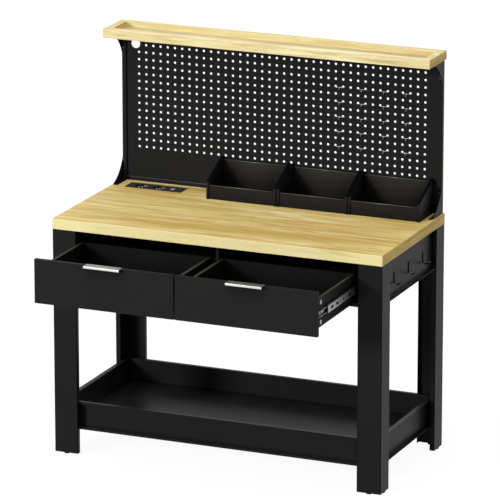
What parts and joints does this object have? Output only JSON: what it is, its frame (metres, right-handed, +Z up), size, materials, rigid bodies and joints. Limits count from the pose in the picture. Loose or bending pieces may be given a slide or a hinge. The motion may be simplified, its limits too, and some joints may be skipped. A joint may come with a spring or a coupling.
{
  "type": "workbench with drawers",
  "caption": "Steel-framed workbench with a wooden top, drawers on slides, a lower tray, a pegboard back wall with hooks and a shelf, storage bins and a power unit.",
  "frame": {"origin": "on the floor, in the middle of the bench's outline with its drawers open as pictured", "axes": "+X to the user's right, +Y from the user to the back wall, +Z up"},
  "size_m": [1.1344, 0.8774, 1.307],
  "materials": {
    "oak_board": "pale striped hardwood board, satin",
    "black_steel": "black powder coat, satin",
    "black_board": "black laminated board, matt",
    "pull_aluminium": "satin anodised",
    "zinc_steel": "zinc plated",
    "hook_chrome": "plated wire",
    "contact_metal": "plated contacts",
    "black_plastic": "moulded, matt",
    "port_plastic": "light grey moulding"
  },
  "bodies": {
    "frame": {"worktop": "oak_board", "shelf_floor": "oak_board", "shelf_rim_front": "oak_board", "shelf_rim_rear": "oak_board", "shelf_rim_ends": "oak_board", "leg_front_left": "black_steel", "leg_front_right": "black_steel", "leg_rear_left": "black_steel", "leg_rear_right": "black_steel", "apron_left": "black_steel", "apron_right": "black_steel", "apron_rear": "black_steel", "drawer_pan": "black_steel", "slide_panel_left": "black_steel", "slide_panel_right": "black_steel", "divider": "black_steel", "tray_rail_front": "black_steel", "tray_rail_rear": "black_steel", "tray_rail_left": "black_steel", "tray_rail_right": "black_steel", "tray_floor": "black_steel", "tray_corner_plates": "black_steel", "pegboard": "black_steel", "pegboard_base_rail": "black_steel", "upright_left": "black_steel", "upright_right": "black_steel", "gusset_lower_left": "black_steel", "gusset_lower_right": "black_steel", "gusset_upper_left": "black_steel", "gusset_upper_right": "black_steel", "side_hooks": "black_steel", "slide_cabinet_members": "zinc_steel", "upright_screws": "zinc_steel", "pegboard_hooks": "hook_chrome", "power_contacts": "contact_metal", "glide_feet": "black_plastic", "power_housing": "black_plastic", "power_sockets": "black_plastic", "usb_port": "port_plastic"},
    "drawer_left": {"drawer_front_left": "black_board", "drawer_side_outer_left": "black_board", "drawer_side_inner_left": "black_board", "drawer_back_left": "black_board", "drawer_bottom_left": "black_board", "drawer_handle_left": "pull_aluminium", "drawer_cams_left": "zinc_steel", "drawer_runners_left": "zinc_steel"},
    "slide_middle_left": {"slide_middle_left": "zinc_steel"},
    "drawer_right": {"drawer_front_right": "black_board", "drawer_side_outer_right": "black_board", "drawer_side_inner_right": "black_board", "drawer_back_right": "black_board", "drawer_bottom_right": "black_board", "drawer_handle_right": "pull_aluminium", "drawer_cams_right": "zinc_steel", "drawer_runners_right": "zinc_steel"},
    "slide_middle_right": {"slide_middle_right": "zinc_steel"},
    "bin_left": {"bin_left": "black_plastic"},
    "bin_middle": {"bin_middle": "black_plastic"},
    "bin_right": {"bin_right": "black_plastic"}
  },
  "joints": [
    {"name": "drawer_left_slide", "type": "slide", "parent": "frame", "child": "drawer_left", "axis": [0, 1, 0], "range_m": [0, 0.3165]},
    {"name": "middle_left_slide", "type": "slide", "parent": "frame", "child": "slide_middle_left", "axis": [0, 1, 0], "range_m": [0, 0.25]},
    {"name": "drawer_right_slide", "type": "slide", "parent": "frame", "child": "drawer_right", "axis": [0, 1, 0], "range_m": [0, 0.3165]},
    {"name": "middle_right_slide", "type": "slide", "parent": "frame", "child": "slide_middle_right", "axis": [0, 1, 0], "range_m": [0, 0.25]},
    {"name": "bin_left_slide", "type": "slide", "parent": "frame", "child": "bin_left", "axis": [0, -1, 0], "range_m": [0, 0.15]},
    {"name": "bin_middle_slide", "type": "slide", "parent": "frame", "child": "bin_middle", "axis": [0, -1, 0], "range_m": [0, 0.15]},
    {"name": "bin_right_slide", "type": "slide", "parent": "frame", "child": "bin_right", "axis": [0, -1, 0], "range_m": [0, 0.15]}
  ],
  "couplings": [
    {"joint": "middle_left_slide", "follows": "drawer_left_slide", "ratio": 0.7898},
    {"joint": "middle_right_slide", "follows": "drawer_right_slide", "ratio": 0.7898}
  ]
}
